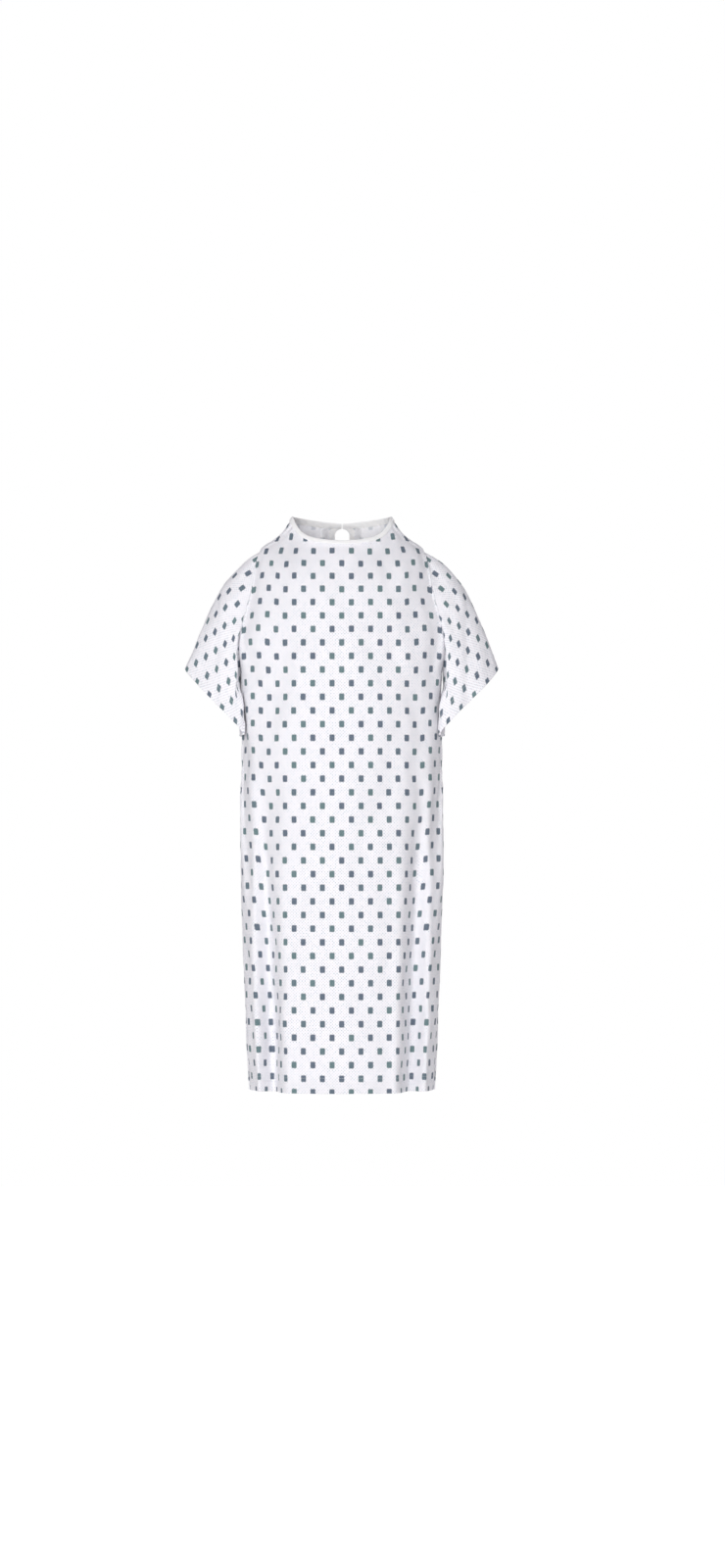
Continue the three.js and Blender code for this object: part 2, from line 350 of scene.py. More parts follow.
def backEdge(run):
    return turnAtHalf(run, openingHalf(run, rawEdge))


def backAt(u, v):
    run = rowRun(v)
    seam = 180 - frontEdge(run)
    return bodyPoint(run, seam + (backEdge(run) - seam) * u)


# the fold down each sleeve's front: a shallow valley, with the cloth set back a little beyond it
sleeveCrease = {
    "reach": 0.258,
    "width": 0.007,
    "valley": 0.0035,
    "setBack": 0.005,
    "fadesIn": (-0.470, -0.380),
    "fadesOut": (-0.170, -0.138),
    "forward": (0.004, 0.03),
}


def sleeveAt(u, v):
    point = sleevePoint(180 - 360 * u, v)
    across = (point[..., 0] - sleeveCrease["reach"]) / sleeveCrease["width"]
    high = smoothstep(point[..., 2], *sleeveCrease["fadesIn"])
    low = 1 - smoothstep(point[..., 2], *sleeveCrease["fadesOut"])
    share = high * low * smoothstep(-point[..., 1], *sleeveCrease["forward"])
    valley = sleeveCrease["valley"] * np.exp(-(across ** 2))
    beyond = sleeveCrease["setBack"] * smoothstep(across, -1, 2)
    point[..., 1] += (valley + beyond) * share
    return point


def normalsOf(points):
    across = np.gradient(points, axis=1)
    down = np.gradient(points, axis=0)
    normals = np.cross(down, across)
    return normals / np.maximum(np.linalg.norm(normals, axis=-1, keepdims=True), 1e-9)


# the flat cut of a grid in metres: lengths along its columns and rows are kept, heights are measured up
# from the hem, and widths from one column, the grain, which is a given way from the middle line on each row
flattening = {"rounds": 8, "least": 0.3}


def flatOf(points, grain, grainAt):
    lengths = np.linalg.norm(np.diff(points, axis=0), axis=-1)
    steps = np.linalg.norm(np.diff(points, axis=1), axis=-1)
    column = round(grain * (points.shape[1] - 1))
    wide = np.zeros(points.shape[:2])
    least = flattening["least"]
    for turn in range(flattening["rounds"]):
        falls = np.sqrt(np.maximum(lengths ** 2 - np.diff(wide, axis=0) ** 2, (least * lengths) ** 2))
        down = np.vstack([np.cumsum(falls[::-1], axis=0)[::-1], np.zeros((1, points.shape[1]))])
        across = np.sqrt(np.maximum(steps ** 2 - np.diff(down, axis=1) ** 2, (least * steps) ** 2))
        found = np.hstack([np.zeros((points.shape[0], 1)), np.cumsum(across, axis=1)])
        found += np.reshape(grainAt, (-1, 1)) - found[:, column:column + 1]
        wide = found if turn == 0 else (wide + found) / 2
    return np.stack([wide, down], -1)


def sampleGrid(values, u, v):  # smooth cubic look-up of an even grid at u and v
    def taps(t, count):
        x = np.clip(t, 0, 1) * (count - 1)
        i = np.clip(np.floor(x).astype(int), 0, count - 2)
        f = x - i
        weights = [
            -0.5 * f ** 3 + f ** 2 - 0.5 * f,
            1.5 * f ** 3 - 2.5 * f ** 2 + 1,
            -1.5 * f ** 3 + 2 * f ** 2 + 0.5 * f,
            0.5 * f ** 3 - 0.5 * f ** 2,
        ]
        return [np.clip(i + k, 0, count - 1) for k in (-1, 0, 1, 2)], weights

    rowTaps, rowWeights = taps(v, values.shape[0])
    columnTaps, columnWeights = taps(u, values.shape[1])
    total = 0
    for i, wi in zip(rowTaps, rowWeights):
        for j, wj in zip(columnTaps, columnWeights):
            total = total + values[i, j] * (wi * wj)[..., None]
    return total


def addGrid(name, points):
    rows, columns = points.shape[0] - 1, points.shape[1] - 1
    bpy.ops.object.select_all(action="DESELECT")
    bpy.ops.mesh.primitive_grid_add(x_subdivisions=columns, y_subdivisions=rows, size=1)
    piece = bpy.context.object
    piece.name = name
    piece.data.name = name
    co = np.empty(len(piece.data.vertices) * 3)
    piece.data.vertices.foreach_get("co", co)
    grid = co.reshape(-1, 3)
    column = np.rint((grid[:, 0] + 0.5) * columns).astype(int)
    row = np.rint((0.5 - grid[:, 1]) * rows).astype(int)
    piece.data.vertices.foreach_set("co", points[row, column].ravel())
    return piece, row, column


# how the cloth settles: each cut piece is sewn fast at its seams and let hang with a little ease

settling = {"frames": 20, "ease": 0.012, "columns": 60, "rows": 90, "cap": 0.005, "underarm": 0.36}
hanging = {
    "quality": 5,
    "mass": 0.15,
    "tension_stiffness": 12,
    "compression_stiffness": 12,
    "shear_stiffness": 6,
    "bending_stiffness": 0.6,
    "air_damping": 4,
    "shrink_min": -settling["ease"],
}


def settle(name, at, sewn):
    columns, rows = settling["columns"], settling["rows"]
    v, u = np.meshgrid(np.linspace(0, 1, rows + 1), np.linspace(0, 1, columns + 1), indexing="ij")
    start = at(u, v)
    shift = np.zeros_like(start)
    cloth, row, column = addGrid(name + "Settling", start)
    held = cloth.vertex_groups.new(name="sewn")
    fast = sewn(column / columns, row / rows)
    held.add([int(i) for i in np.nonzero(fast)[0]], 1.0, "REPLACE")
    bpy.ops.object.modifier_add(type="CLOTH")
    hang = cloth.modifiers[-1]
    for setting, value in hanging.items():
        setattr(hang.settings, setting, value)
    hang.settings.vertex_group_mass = "sewn"
    hang.point_cache.frame_end = settling["frames"]
    for step in range(1, settling["frames"] + 1):
        bpy.context.scene.frame_set(step)
    hung = cloth.evaluated_get(bpy.context.evaluated_depsgraph_get()).to_mesh()
    places = np.empty(len(hung.vertices) * 3)
    hung.vertices.foreach_get("co", places)
    moved = places.reshape(-1, 3) - start[row, column]
    far = np.linalg.norm(moved, axis=1, keepdims=True)
    moved *= settling["cap"] * np.tanh(far / settling["cap"]) / np.maximum(far, 1e-9)
    shift[row, column] = moved
    bpy.data.objects.remove(cloth)
    bpy.context.scene.frame_set(1)
    print(f"settled {name}: most {far.max() * 1000:.1f} mm, mean {far.mean() * 1000:.1f} mm")
    return shift


def allButHem(u, v):
    return (u < 0.001) | (u > 0.999) | (v < 0.001)


def armholeAndUnderarm(u, v):
    return (v < 0.001) | (np.abs(u - 0.5) > settling["underarm"])


# small creases that washing and folding leave, as a few crossing waves, mostly upright

creases = {
    "waves": 26,
    "height": 0.0013,
    "shortest": 0.035,
    "longest": 0.16,
    "slant": 0.45,
    "calm": 0.03,
    "evenOut": 0.35,
}


def creaseHeight(flat, seed):
    draw = np.random.default_rng(seed)
    count = creases["waves"]
    lowest, highest = math.log(creases["shortest"]), math.log(creases["longest"])
    length = np.exp(draw.uniform(lowest, highest, count))
    angle = draw.normal(0, creases["slant"], count)
    phase = draw.uniform(0, 2 * math.pi, count)
    total = np.zeros(flat.shape[:-1])
    for k in range(count):
        along = flat[..., 0] * math.cos(angle[k]) + flat[..., 1] * math.sin(angle[k])
        total += length[k] * np.sin(2 * math.pi * along / length[k] + phase[k])
    return creases["height"] * total / (creases["longest"] * math.sqrt(count) * creases["evenOut"])


# where two cut pieces are joined, both edges roll in and the stitching puckers them a little
seam = {
    "roll": 0.0009,
    "width": 0.003,
    "pucker": 0.0006,
    "puckerLength": 0.017,
    "puckerReach": 0.014,
    "drift": 1.7,
    "driftLength": 0.05,
}


def seamDepth(away, along):
    roll = seam["roll"] * np.exp(-((away / seam["width"]) ** 2))
    pucker = seam["pucker"] * np.exp(-away / seam["puckerReach"])
    drift = seam["drift"] * np.sin(along / seam["driftLength"])
    wave = np.sin(2 * math.pi * along / seam["puckerLength"] + drift)
    return roll + pucker * (0.5 + 0.5 * wave)


# the hem is turned up inside and stitched down
hem = {
    "turnUp": 0.025,
    "stitchAbove": 0.0215,
    "fold": 0.0007,
    "groove": 0.00045,
    "grooveWidth": 0.0018,
    "pucker": 0.0004,
    "puckerLength": 0.013,
    "puckerReach": 0.012,
    "drift": 2.1,
    "driftLength": 0.031,
}
hemTurns = [math.radians(a) for a in (55, 125, 180)]
hemHeights = [0.006, 0.012, 0.018, hem["stitchAbove"], hem["turnUp"]]
besideStitches = (-0.006, -0.003, -0.0015, 0, 0.0015, 0.003, 0.006)
aboveFold = (0.008, 0.002)


def hemRows(points, normals, flat):
    fold = hem["fold"]
    rows, cut = [], []
    for angle in hemTurns:
        down = np.array([0, 0, -fold * math.sin(angle)])
        rows.append(points[-1] - normals[-1] * fold * (1 - math.cos(angle)) + down)
        cut.append(flat[-1] - np.array([0, fold * angle]))
    for height in hemHeights:
        row = np.empty_like(points[-1])
        for j in range(points.shape[1]):
            up = flat[::-1, j, 1]
            inside = points[::-1, j] - normals[::-1, j] * 2 * fold
            for k in range(3):
                row[j, k] = np.interp(height, up, inside[:, k])
        rows.append(row)
        cut.append(flat[-1] - np.array([0, fold * math.pi + height]))
    return np.concatenate([points, rows]), np.concatenate([flat, cut])


def crowdEnds(count, share):  # even steps drawn together at both ends
    t = np.linspace(0, 1, count + 1)
    return t - share * np.sin(2 * math.pi * t) / (2 * math.pi)


def hemSteps(even, length):  # rows added close to the hem's stitching and its fold
    extra = [1 - (hem["stitchAbove"] + away) / length for away in besideStitches]
    extra += [1 - away / length for away in aboveFold]
    return np.unique(np.round(np.concatenate([even, extra]), 6))


def makePanel(name, cut, seed, side=1):
    across, downwards, seamSides = cut["across"], cut["downwards"], cut["seams"]
    shift = settle(name, cut["at"], cut["sewn"])
    v, u = np.meshgrid(downwards, across, indexing="ij")
    smooth = cut["at"](u, v)
    points = smooth + sampleGrid(shift, u, v)
    flat = flatOf(points, *cut["grain"])
    sides = {
        "first": flat[..., 0] - flat[:, :1, 0],
        "last": flat[:, -1:, 0] - flat[..., 0],
        "top": flat[:1, :, 1] - flat[..., 1],
    }
    calm = np.minimum.reduce([sides[s] for s in cut["calm"]])
    away = np.minimum.reduce([sides[s] for s in seamSides])
    along = flat[..., 0] if "top" in seamSides else flat[..., 1]
    height = creaseHeight(flat, seed) * smoothstep(calm, 0, creases["calm"]) - seamDepth(away, along)
    aboveStitches = flat[..., 1] - hem["stitchAbove"]
    height -= hem["groove"] * np.exp(-((aboveStitches / hem["grooveWidth"]) ** 2))
    drift = hem["drift"] * np.sin(flat[..., 0] / hem["driftLength"])
    ripple = np.sin(2 * math.pi * flat[..., 0] / hem["puckerLength"] + drift)
    height += hem["pucker"] * ripple * np.exp(-((aboveStitches / hem["puckerReach"]) ** 2))
    points = points + normalsOf(points) * height[..., None]
    return {
        "across": across,
        "downwards": downwards,
        "points": points,
        "normals": normalsOf(points),
        "shift": points - smooth,
        "flat": flat,
        "side": side,
    }


def lookUp(panel, field, u, v):
    columns, rows = (np.linspace(0, 1, len(panel[key])) for key in ("across", "downwards"))
    evenU = np.interp(u, panel["across"], columns)
    evenV = np.interp(v, panel["downwards"], rows)
    return sampleGrid(panel[field], evenU, evenV)


clothThick = 0.0007


# a grid of places becomes a mesh, with the cloth's flat cut in metres as its UV map
def gridPiece(name, points, flat):
    piece, row, column = addGrid(name, points)
    corner = np.empty(len(piece.data.loops), int)
    piece.data.loops.foreach_get("vertex_index", corner)
    piece.data.uv_layers[0].name = "flatCut"
    piece.data.uv_layers[0].data.foreach_set("uv", flat[row, column][corner].ravel())
    piece.data.update()
    bpy.ops.object.shade_smooth()
    return piece


def mirrored(points, side):
    return points * np.array([side, 1, 1])


def faceOut(piece, toward):  # the grid is turned round if its middle face looks the other way
    face = piece.data.polygons[len(piece.data.polygons) // 2]
    if face.normal.dot(Vector(toward)) < 0:
        bpy.ops.object.mode_set(mode="EDIT")
        bpy.ops.mesh.select_all(action="SELECT")
        bpy.ops.mesh.flip_normals()
        bpy.ops.object.mode_set(mode="OBJECT")


def thicken(piece):
    bpy.ops.object.modifier_add(type="SOLIDIFY")
    solid = piece.modifiers[-1]
    solid.thickness = clothThick
    solid.offset = 0
    solid.material_offset = 1
    solid.material_offset_rim = 0
    bpy.ops.object.modifier_apply(modifier=solid.name)


def paint(piece, *finishes):
    piece.data.materials.clear()
    for finish in finishes:
        piece.data.materials.append(finish)


def closeTube(piece):  # joins the long edges of a grid that meet, and closes its two ends
    bpy.ops.object.mode_set(mode="EDIT")
    bpy.ops.mesh.select_all(action="SELECT")
    bpy.ops.mesh.remove_doubles(threshold=1e-7)
    bpy.ops.mesh.select_all(action="SELECT")
    bpy.ops.mesh.fill_holes(sides=0)
    bpy.ops.mesh.select_all(action="SELECT")
    bpy.ops.mesh.normals_make_consistent(inside=False)
    bpy.ops.object.mode_set(mode="OBJECT")
    bpy.ops.object.shade_smooth_by_angle(angle=math.radians(50))


def blendFlap(piece):
    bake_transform(piece)


def blendSleeve(piece):
    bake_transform(piece)


# shaders: what the print, the specks and the weave put on the cloth


def nodeGroup(name, inputs, outputs):
    tree = bpy.data.node_groups.new(name, "ShaderNodeTree")
    for label, kind, value in inputs:
        socket = tree.interface.new_socket(label, in_out="INPUT", socket_type=kind)
        if value is not None:
            socket.default_value = value
    for label, kind in outputs:
        tree.interface.new_socket(label, in_out="OUTPUT", socket_type=kind)
    entry = tree.nodes.new("NodeGroupInput")
    leave = tree.nodes.new("NodeGroupOutput")
    return tree, entry, leave


def feed(tree, socket, value):
    if isinstance(value, bpy.types.NodeSocket):
        tree.links.new(value, socket)
    else:
        socket.default_value = value


def sums(tree, kind, a, b=0.0, c=0.0):
    node = tree.nodes.new("ShaderNodeMath")
    node.operation = kind
    for socket, value in zip(node.inputs, (a, b, c)):
        feed(tree, socket, value)
    return node.outputs[0]


def blendColor(tree, share, a, b):
    node = tree.nodes.new("ShaderNodeMix")
    node.data_type = "RGBA"
    feed(tree, node.inputs["Factor"], share)
    feed(tree, node.inputs["A"], a)
    feed(tree, node.inputs["B"], b)
    return node.outputs["Result"]


def ramp(tree, value, low, high, first=0.0, last=1.0):  # an eased step from one level to another
    node = tree.nodes.new("ShaderNodeMapRange")
    node.interpolation_type = "SMOOTHSTEP"
    labels = ("Value", "From Min", "From Max", "To Min", "To Max")
    for label, v in zip(labels, (value, low, high, first, last)):
        feed(tree, node.inputs[label], v)
    return node.outputs[0]


def joined(tree, x, y):
    node = tree.nodes.new("ShaderNodeCombineXYZ")
    feed(tree, node.inputs[0], x)
    feed(tree, node.inputs[1], y)
    return node.outputs[0]


def parted(tree, vector):
    node = tree.nodes.new("ShaderNodeSeparateXYZ")
    feed(tree, node.inputs[0], vector)
    return node.outputs[0], node.outputs[1]


def randomAt(tree, x, y):
    node = tree.nodes.new("ShaderNodeTexWhiteNoise")
    node.noise_dimensions = "2D"
    feed(tree, node.inputs["Vector"], joined(tree, x, y))
    return node.outputs["Value"]


def noiseAt(tree, vector, scale, detail=2.0):
    node = tree.nodes.new("ShaderNodeTexNoise")
    feed(tree, node.inputs["Vector"], vector)
    node.inputs["Scale"].default_value = scale
    node.inputs["Detail"].default_value = detail
    return node.outputs["Fac"]


# upright soft rectangles in rows, each row half a step along from the one above
def printGroup():
    tree, entry, leave = nodeGroup(
        "rectanglePrint",
        [
            ("Cut", "NodeSocketVector", None),
            ("Column Step", "NodeSocketFloat", 0.039),
            ("Row Step", "NodeSocketFloat", 0.0275),
            ("Half Width", "NodeSocketFloat", 0.0052),
            ("Half Height", "NodeSocketFloat", 0.0067),
            ("Softness", "NodeSocketFloat", 0.16),
            ("Row Shift", "NodeSocketFloat", 0.0118),
        ],
        [("Ink", "NodeSocketFloat"), ("Tint", "NodeSocketFloat")],
    )
    given = entry.outputs
    wobble = noiseAt(tree, given["Cut"], 900.0, 1.0)
    x, y = parted(tree, given["Cut"])
    rowPlace = sums(tree, "DIVIDE", sums(tree, "ADD", y, given["Row Shift"]), given["Row Step"])
    row = sums(tree, "FLOOR", rowPlace)
    odd = sums(tree, "MODULO", sums(tree, "ABSOLUTE", row), 2.0)
    columns = sums(tree, "DIVIDE", x, given["Column Step"])
    columnPlace = sums(tree, "ADD", columns, sums(tree, "MULTIPLY", odd, 0.5))
    column = sums(tree, "FLOOR", columnPlace)
    fromColumn = sums(tree, "SUBTRACT", sums(tree, "SUBTRACT", columnPlace, column), 0.5)
    fromRow = sums(tree, "SUBTRACT", sums(tree, "SUBTRACT", rowPlace, row), 0.5)
    wide = sums(tree, "MULTIPLY", fromColumn, given["Column Step"])
    acrossBox = sums(tree, "DIVIDE", wide, given["Half Width"])
    high = sums(tree, "MULTIPLY", fromRow, given["Row Step"])
    alongBox = sums(tree, "DIVIDE", high, given["Half Height"])
    power = [sums(tree, "POWER", sums(tree, "ABSOLUTE", a), 6.0) for a in (acrossBox, alongBox)]
    reach = sums(tree, "POWER", sums(tree, "ADD", power[0], power[1]), 1 / 6)
    ragged = sums(tree, "ADD", reach, sums(tree, "MULTIPLY", sums(tree, "SUBTRACT", wobble, 0.5), 0.3))
    within = sums(tree, "SUBTRACT", 1.0, given["Softness"])
    beyond = sums(tree, "ADD", 1.0, given["Softness"])
    ink = sums(tree, "SUBTRACT", 1.0, ramp(tree, ragged, within, beyond))
    tree.links.new(ink, leave.inputs["Ink"])
    tree.links.new(randomAt(tree, column, row), leave.inputs["Tint"])
    return tree


# a fine slanting lattice of pale specks behind the print
def speckGroup():
    tree, entry, leave = nodeGroup(
        "slantedSpecks",
        [
            ("Cut", "NodeSocketVector", None),
            ("Step", "NodeSocketFloat", 0.0062),
            ("Radius", "NodeSocketFloat", 0.23),
        ],
        [("Speck", "NodeSocketFloat"), ("Tint", "NodeSocketFloat")],
    )
    x, y = parted(tree, entry.outputs["Cut"])
    cells, squares = [], []
    for slanted in (sums(tree, "ADD", x, y), sums(tree, "SUBTRACT", x, y)):
        spot = sums(tree, "DIVIDE", slanted, entry.outputs["Step"])
        cell = sums(tree, "FLOOR", spot)
        away = sums(tree, "SUBTRACT", sums(tree, "SUBTRACT", spot, cell), 0.5)
        cells.append(cell)
        squares.append(sums(tree, "POWER", sums(tree, "ABSOLUTE", away), 2.0))
    distance = sums(tree, "SQRT", sums(tree, "ADD", *squares))
    tint = randomAt(tree, *cells)
    size = sums(tree, "ADD", 0.7, sums(tree, "MULTIPLY", tint, 0.6))
    share = sums(tree, "DIVIDE", distance, sums(tree, "MULTIPLY", entry.outputs["Radius"], size))
    tree.links.new(sums(tree, "SUBTRACT", 1.0, ramp(tree, share, 0.6, 1.3)), leave.inputs["Speck"])
    tree.links.new(tint, leave.inputs["Tint"])
    return tree


# plain weave: threads over and under each other, with slight thick and thin places
def weaveGroup():
    tree, entry, leave = nodeGroup(
        "plainWeave",
        [
            ("Cut", "NodeSocketVector", None),
            ("Thread", "NodeSocketFloat", 0.0007),
            ("Slub", "NodeSocketFloat", 0.5),
        ],
        [("Height", "NodeSocketFloat"), ("Shade", "NodeSocketFloat")],
    )
    x, y = parted(tree, entry.outputs["Cut"])
    threads = [sums(tree, "DIVIDE", a, entry.outputs["Thread"]) for a in (x, y)]
    turns = [sums(tree, "MULTIPLY", thread, math.pi) for thread in threads]
    warp = sums(tree, "MULTIPLY", sums(tree, "SINE", turns[0]), sums(tree, "COSINE", turns[1]))
    slubs = noiseAt(tree, entry.outputs["Cut"], 420.0, 3.0)
    uneven = sums(tree, "MULTIPLY", slubs, entry.outputs["Slub"])
    height = sums(tree, "ADD", sums(tree, "ABSOLUTE", warp), uneven)
    tree.links.new(height, leave.inputs["Height"])
    tree.links.new(slubs, leave.inputs["Shade"])
    return tree


groups = {"print": printGroup(), "specks": speckGroup(), "weave": weaveGroup()}


def place(tree, name, vector, **values):
    node = tree.nodes.new("ShaderNodeGroup")
    node.node_tree = groups[name]
    feed(tree, node.inputs["Cut"], vector)
    for label, value in values.items():
        node.inputs[label].default_value = value
    return node.outputs


# how much light the cloth lets through: its weight differs by finish, its colour and depth don't
glow = {"cloth": 0.2, "inside": 0.8, "binding": 0.6, "tape": 0.35, "thread": 0.35}
glowRadius, glowDepth = (1.0, 0.97, 0.95), 0.0014


def clothShader(name, roughness, sheen, glowWeight):
    finish = bpy.data.materials.new(name)
    finish.use_nodes = True
    tree = finish.node_tree
    shader = tree.nodes["Principled BSDF"]
    shader.inputs["Roughness"].default_value = roughness
    shader.inputs["Sheen Weight"].default_value = sheen
    shader.inputs["Sheen Roughness"].default_value = 0.5
    shader.inputs["Specular IOR Level"].default_value = 0.25
    shader.inputs["Subsurface Weight"].default_value = glowWeight
    shader.inputs["Subsurface Radius"].default_value = glowRadius
    shader.inputs["Subsurface Scale"].default_value = glowDepth
    cut = tree.nodes.new("ShaderNodeUVMap")
    cut.uv_map = "flatCut"
    return finish, tree, shader, cut.outputs["UV"]


def bumpFrom(tree, shader, height, strength, distance):
    bump = tree.nodes.new("ShaderNodeBump")
    bump.inputs["Strength"].default_value = strength
    bump.inputs["Distance"].default_value = distance
    tree.links.new(height, bump.inputs["Height"])
    tree.links.new(bump.outputs["Normal"], shader.inputs["Normal"])


def linear(*screen):  # a colour picked on screen, each part from 0 to 255, as the shader wants it
    return tuple(((c / 255 + 0.055) / 1.055) ** 2.4 for c in screen) + (1.0,)


colors = {
    "cloth": linear(245, 245, 248),
    "clothDip": linear(236, 237, 242),
    "blueInk": linear(82, 97, 114),
    "tealInk": linear(90, 118, 121),
    "pinkSpeck": linear(205, 170, 182),
    "greySpeck": linear(170, 178, 192),
    "binding": linear(246, 246, 247),
    "bindingDip": linear(243, 243, 242),
    "tape": linear(240, 240, 238),
    "tapeDip": linear(230, 229, 226),
    "thread": linear(238, 238, 236),
}
printed = {"inkShow": 0.97, "speckShow": 0.7, "inkInside": 0.30, "speckInside": 0.2}


def printedShader(name, inkShow, speckShow, glowWeight):
    finish, tree, shader, cut = clothShader(name, 0.88, 0.12, glowWeight)
    weave = place(tree, "weave", cut)
    ground = blendColor(tree, weave["Shade"], colors["clothDip"], colors["cloth"])
    specks = place(tree, "specks", cut)
    speckColor = blendColor(tree, specks["Tint"], colors["pinkSpeck"], colors["greySpeck"])
    ground = blendColor(tree, sums(tree, "MULTIPLY", specks["Speck"], speckShow), ground, speckColor)
    ink = place(tree, "print", cut)
    inkColor = blendColor(tree, ramp(tree, ink["Tint"], 0.25, 0.9), colors["blueInk"], colors["tealInk"])
    worn = sums(tree, "ADD", 0.82, sums(tree, "MULTIPLY", weave["Shade"], 0.3))
    faded = sums(tree, "MULTIPLY", ink["Ink"], inkShow)
    shown = sums(tree, "MINIMUM", 1.0, sums(tree, "MULTIPLY", faded, worn))
    tree.links.new(blendColor(tree, shown, ground, inkColor), shader.inputs["Base Color"])
    tree.links.new(ramp(tree, weave["Shade"], 0.2, 0.8, 0.82, 0.95), shader.inputs["Roughness"])
    bumpFrom(tree, shader, weave["Height"], 0.25, 0.00025)
    return finish


def tapeShader(name, light, dip, thread, glowWeight):
    finish, tree, shader, cut = clothShader(name, 0.85, 0.1, glowWeight)
    weave = place(tree, "weave", cut, Thread=thread)
    tree.links.new(blendColor(tree, weave["Shade"], dip, light), shader.inputs["Base Color"])
    tree.links.new(ramp(tree, weave["Shade"], 0.2, 0.8, 0.78, 0.92), shader.inputs["Roughness"])
    bumpFrom(tree, shader, weave["Height"], 0.3, 0.00025)
    return finish


finishes = {
    "cloth": printedShader("printedCloth", printed["inkShow"], printed["speckShow"], glow["cloth"]),
    "inside": printedShader(
        "printedClothInside", printed["inkInside"], printed["speckInside"], glow["inside"]
    ),
    "binding": tapeShader("whiteBinding", colors["binding"], colors["bindingDip"], 0.0006, glow["binding"]),
    "tape": tapeShader("tieTape", colors["tape"], colors["tapeDip"], 0.0011, glow["tape"]),
    "thread": tapeShader("sewingThread", colors["thread"], colors["bindingDip"], 0.0002, glow["thread"]),
}
print("finishes mixed")


# the three cut panels and the two sleeves

hands = {"left": 1, "right": -1}
seeds = {"front": 7, "back": {"left": 21, "right": 34}, "sleeve": {"left": 52, "right": 63}}
rowsOf = {"body": 176, "sleeve": 56}
nearLength = {"body": 1.5, "sleeve": 0.29}

bodyRows = hemSteps(np.linspace(0, 1, rowsOf["body"] + 1), nearLength["body"])
sleeveRows = hemSteps(np.linspace(0, 1, rowsOf["sleeve"] + 1) ** 1.25, nearLength["sleeve"])
frontCut = {
    "at": frontAt,
    "across": crowdEnds(132, 0.55),
    "downwards": bodyRows,
    "grain": (0.5, 0.0),
    "sewn": allButHem,
    "seams": ("first", "last"),
    "calm": ("first", "last", "top"),
}
backCut = {
    "at": backAt,
    "across": crowdEnds(88, 0.45),
    "downwards": bodyRows,
    "grain": (1.0, -openingHalf(rowRun(bodyRows), rawEdge)),
    "sewn": allButHem,
    "seams": ("first",),
    "calm": ("first", "last", "top"),
}
sleeveCut = {
    "at": sleeveAt,
    "across": np.linspace(0, 1, 117),
    "downwards": sleeveRows,
    "grain": (0.5, 0.0),
    "sewn": armholeAndUnderarm,
    "seams": ("top",),
    "calm": ("top",),
}


def addCloth(name, panel, toward):
    points, flat = hemRows(panel["points"], panel["normals"], panel["flat"])
    piece = gridPiece(name, mirrored(points, panel["side"]), flat * np.array([panel["side"], 1]))
    faceOut(piece, toward)
    paint(piece, finishes["cloth"], finishes["inside"])
    thicken(piece)
    wide = float(np.ptp(flat[..., 0]))
    long = float(flat[..., 1].max()) + hem["turnUp"] + hem["fold"] * math.pi
    diagonals = [points[1:, 1:] - points[:-1, :-1], points[1:, :-1] - points[:-1, 1:]]
    area = float(np.linalg.norm(np.cross(*diagonals), axis=-1).sum() / 2)
    print(f"{name} cut {wide:.3f} by {long:.3f} m, area {area:.3f}")
    return piece, {"flat": (wide, long), "area": min(area, wide * long)}


front = makePanel("front", frontCut, seeds["front"])
frontPanel, frontSize = addCloth("frontPanel", front, (0, -1, 0))
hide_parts("front_panel")
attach(frontPanel, "gown")

backs, sleeves = {}, {}
for hand, side in hands.items():
    back = makePanel("back " + hand, backCut, seeds["back"][hand], side)
    backs[hand] = back
    panel, size = addCloth("backPanel" + hand.title(), back, (0, 1, 0))
    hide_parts("back_side_" + hand, "back_flap_" + hand)
    blendFlap(panel)
    arm = makePanel("sleeve " + hand, sleeveCut, seeds["sleeve"][hand], side)
    sleeves[hand] = arm
    panel, size = addCloth("sleeve" + hand.title(), arm, (side, 0, 0))
    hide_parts("sleeve_" + hand)
    blendSleeve(panel)
print("cloth cut and hung")


# trims: each is a flat tube laid along the cloth, with its own flat cut as its UV map


def bodyOut(run, turn):  # the outward direction of the smooth body
    step = 0.0005
    down = bodyPoint(run + step, turn) - bodyPoint(run - step, turn)
    across = bodyPoint(run, turn + 0.2) - bodyPoint(run, turn - 0.2)
    normal = np.cross(down, across)
    return normal / np.linalg.norm(normal, axis=-1, keepdims=True)


def onBack(hand, run, half, off):  # a place on a back panel as it hangs, at a distance from the middle line
    run, half, off = np.broadcast_arrays(*(np.asarray(a, float) for a in (run, half, off)))
    turn = turnAtHalf(run, half)
    sideSeam = 180 - frontEdge(run)
    u = np.clip((turn - sideSeam) / (backEdge(run) - sideSeam), 0, 1)
    hung = bodyPoint(run, turn) + lookUp(backs[hand], "shift", u, rowAtRun(run))
    return hung + bodyOut(run, turn) * off[..., None]


def onFront(run, turn, off):
    run, turn, off = np.broadcast_arrays(*(np.asarray(a, float) for a in (run, turn, off)))
    point = bodyPoint(run, np.abs(turn)) + bodyOut(run, np.abs(turn)) * off[..., None]
    point[..., 0] *= np.sign(turn + 1e-9)
    return point


def tube(name, points, flat, finish):
    piece = gridPiece(name, points, flat)
    closeTube(piece)
    paint(piece, finish)
    return piece


def lengthsAlong(points):
    steps = np.linalg.norm(np.diff(points, axis=0), axis=-1)
    return np.concatenate([[0], np.cumsum(steps)])


